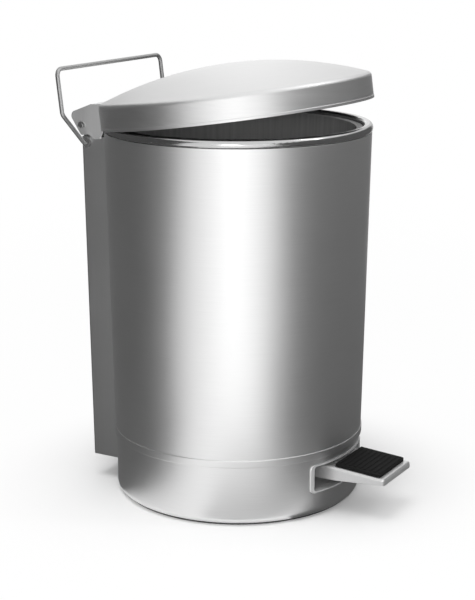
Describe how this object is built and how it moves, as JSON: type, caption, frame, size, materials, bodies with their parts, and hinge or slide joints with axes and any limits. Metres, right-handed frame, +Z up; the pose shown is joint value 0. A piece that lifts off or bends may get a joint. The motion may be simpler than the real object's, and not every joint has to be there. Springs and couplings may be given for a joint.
{
  "type": "pedal bin",
  "caption": "Round tapered stainless steel pedal bin with a domed hinged lid, rear rod housing, wire carry handle and inner bucket.",
  "frame": {"origin": "on the floor, at the centre of the round base", "axes": "+Z up, the pedal at the front on -Y, the rod housing, hinge and carry handle at the back on +Y"},
  "size_m": [0.2558, 0.321, 0.4143],
  "materials": {
    "satin_steel": "satin, vertically even",
    "lid_steel": "satin",
    "polished_steel": "polished",
    "zinc_steel": "plain zinc plate",
    "black_plastic": "matt moulded",
    "grey_plastic": "matt moulded",
    "pale_plastic": "matt moulded",
    "black_rubber": "ribbed rubber"
  },
  "bodies": {
    "bin": {"outer_body": "satin_steel", "rim_ring": "polished_steel", "base_ring": "satin_steel", "pedal_slot_lining": "polished_steel", "foot_ring": "black_plastic", "floor_pan": "zinc_steel", "pivot_bracket": "zinc_steel", "pivot_pin": "zinc_steel", "pivot_clips": "zinc_steel", "rear_housing": "satin_steel", "rod_guide_lower": "zinc_steel", "rod_guide_upper": "zinc_steel", "hinge_bracket": "zinc_steel", "hinge_spacers": "grey_plastic", "hinge_pin": "zinc_steel", "hinge_clips": "zinc_steel", "housing_screws": "zinc_steel", "handle_bushes": "grey_plastic", "handle_clips": "zinc_steel", "inner_bucket": "pale_plastic"},
    "lid": {"lid_shell": "lid_steel", "lid_liner": "grey_plastic", "lid_bumpers": "black_rubber", "hinge_hood": "satin_steel", "lid_crank": "zinc_steel", "hood_rivets": "zinc_steel"},
    "pedal": {"pedal_lever": "zinc_steel", "lever_bush": "grey_plastic", "pedal_tread": "polished_steel", "pedal_pad": "black_rubber", "tread_rivets": "zinc_steel"},
    "rod": {"lift_rod": "zinc_steel", "rod_clips": "zinc_steel"},
    "handle": {"carry_handle": "polished_steel"}
  },
  "joints": [
    {"name": "lid_hinge", "type": "hinge", "parent": "bin", "child": "lid", "pos_m": [0, 0.13825, 0.35], "axis": [-1, 0, 0], "range_deg": [-8.1, 41.9]},
    {"name": "rod_slide", "type": "slide", "parent": "bin", "child": "rod", "axis": [0, 0, 1], "range_m": [-0.00176, 0.00824]},
    {"name": "pedal_hinge", "type": "hinge", "parent": "bin", "child": "pedal", "pos_m": [0, -0.01, 0.0405], "axis": [1, 0, 0], "range_deg": [-0.7, 3.39]},
    {"name": "handle_swing", "type": "hinge", "parent": "bin", "child": "handle", "pos_m": [0, 0.13372, 0.334], "axis": [-1, 0, 0], "range_deg": [0, 165]}
  ],
  "couplings": [
    {"joint": "rod_slide", "follows": "lid_hinge", "m_per_rad": 0.011},
    {"joint": "pedal_hinge", "follows": "lid_hinge", "ratio": 0.079739}
  ]
}
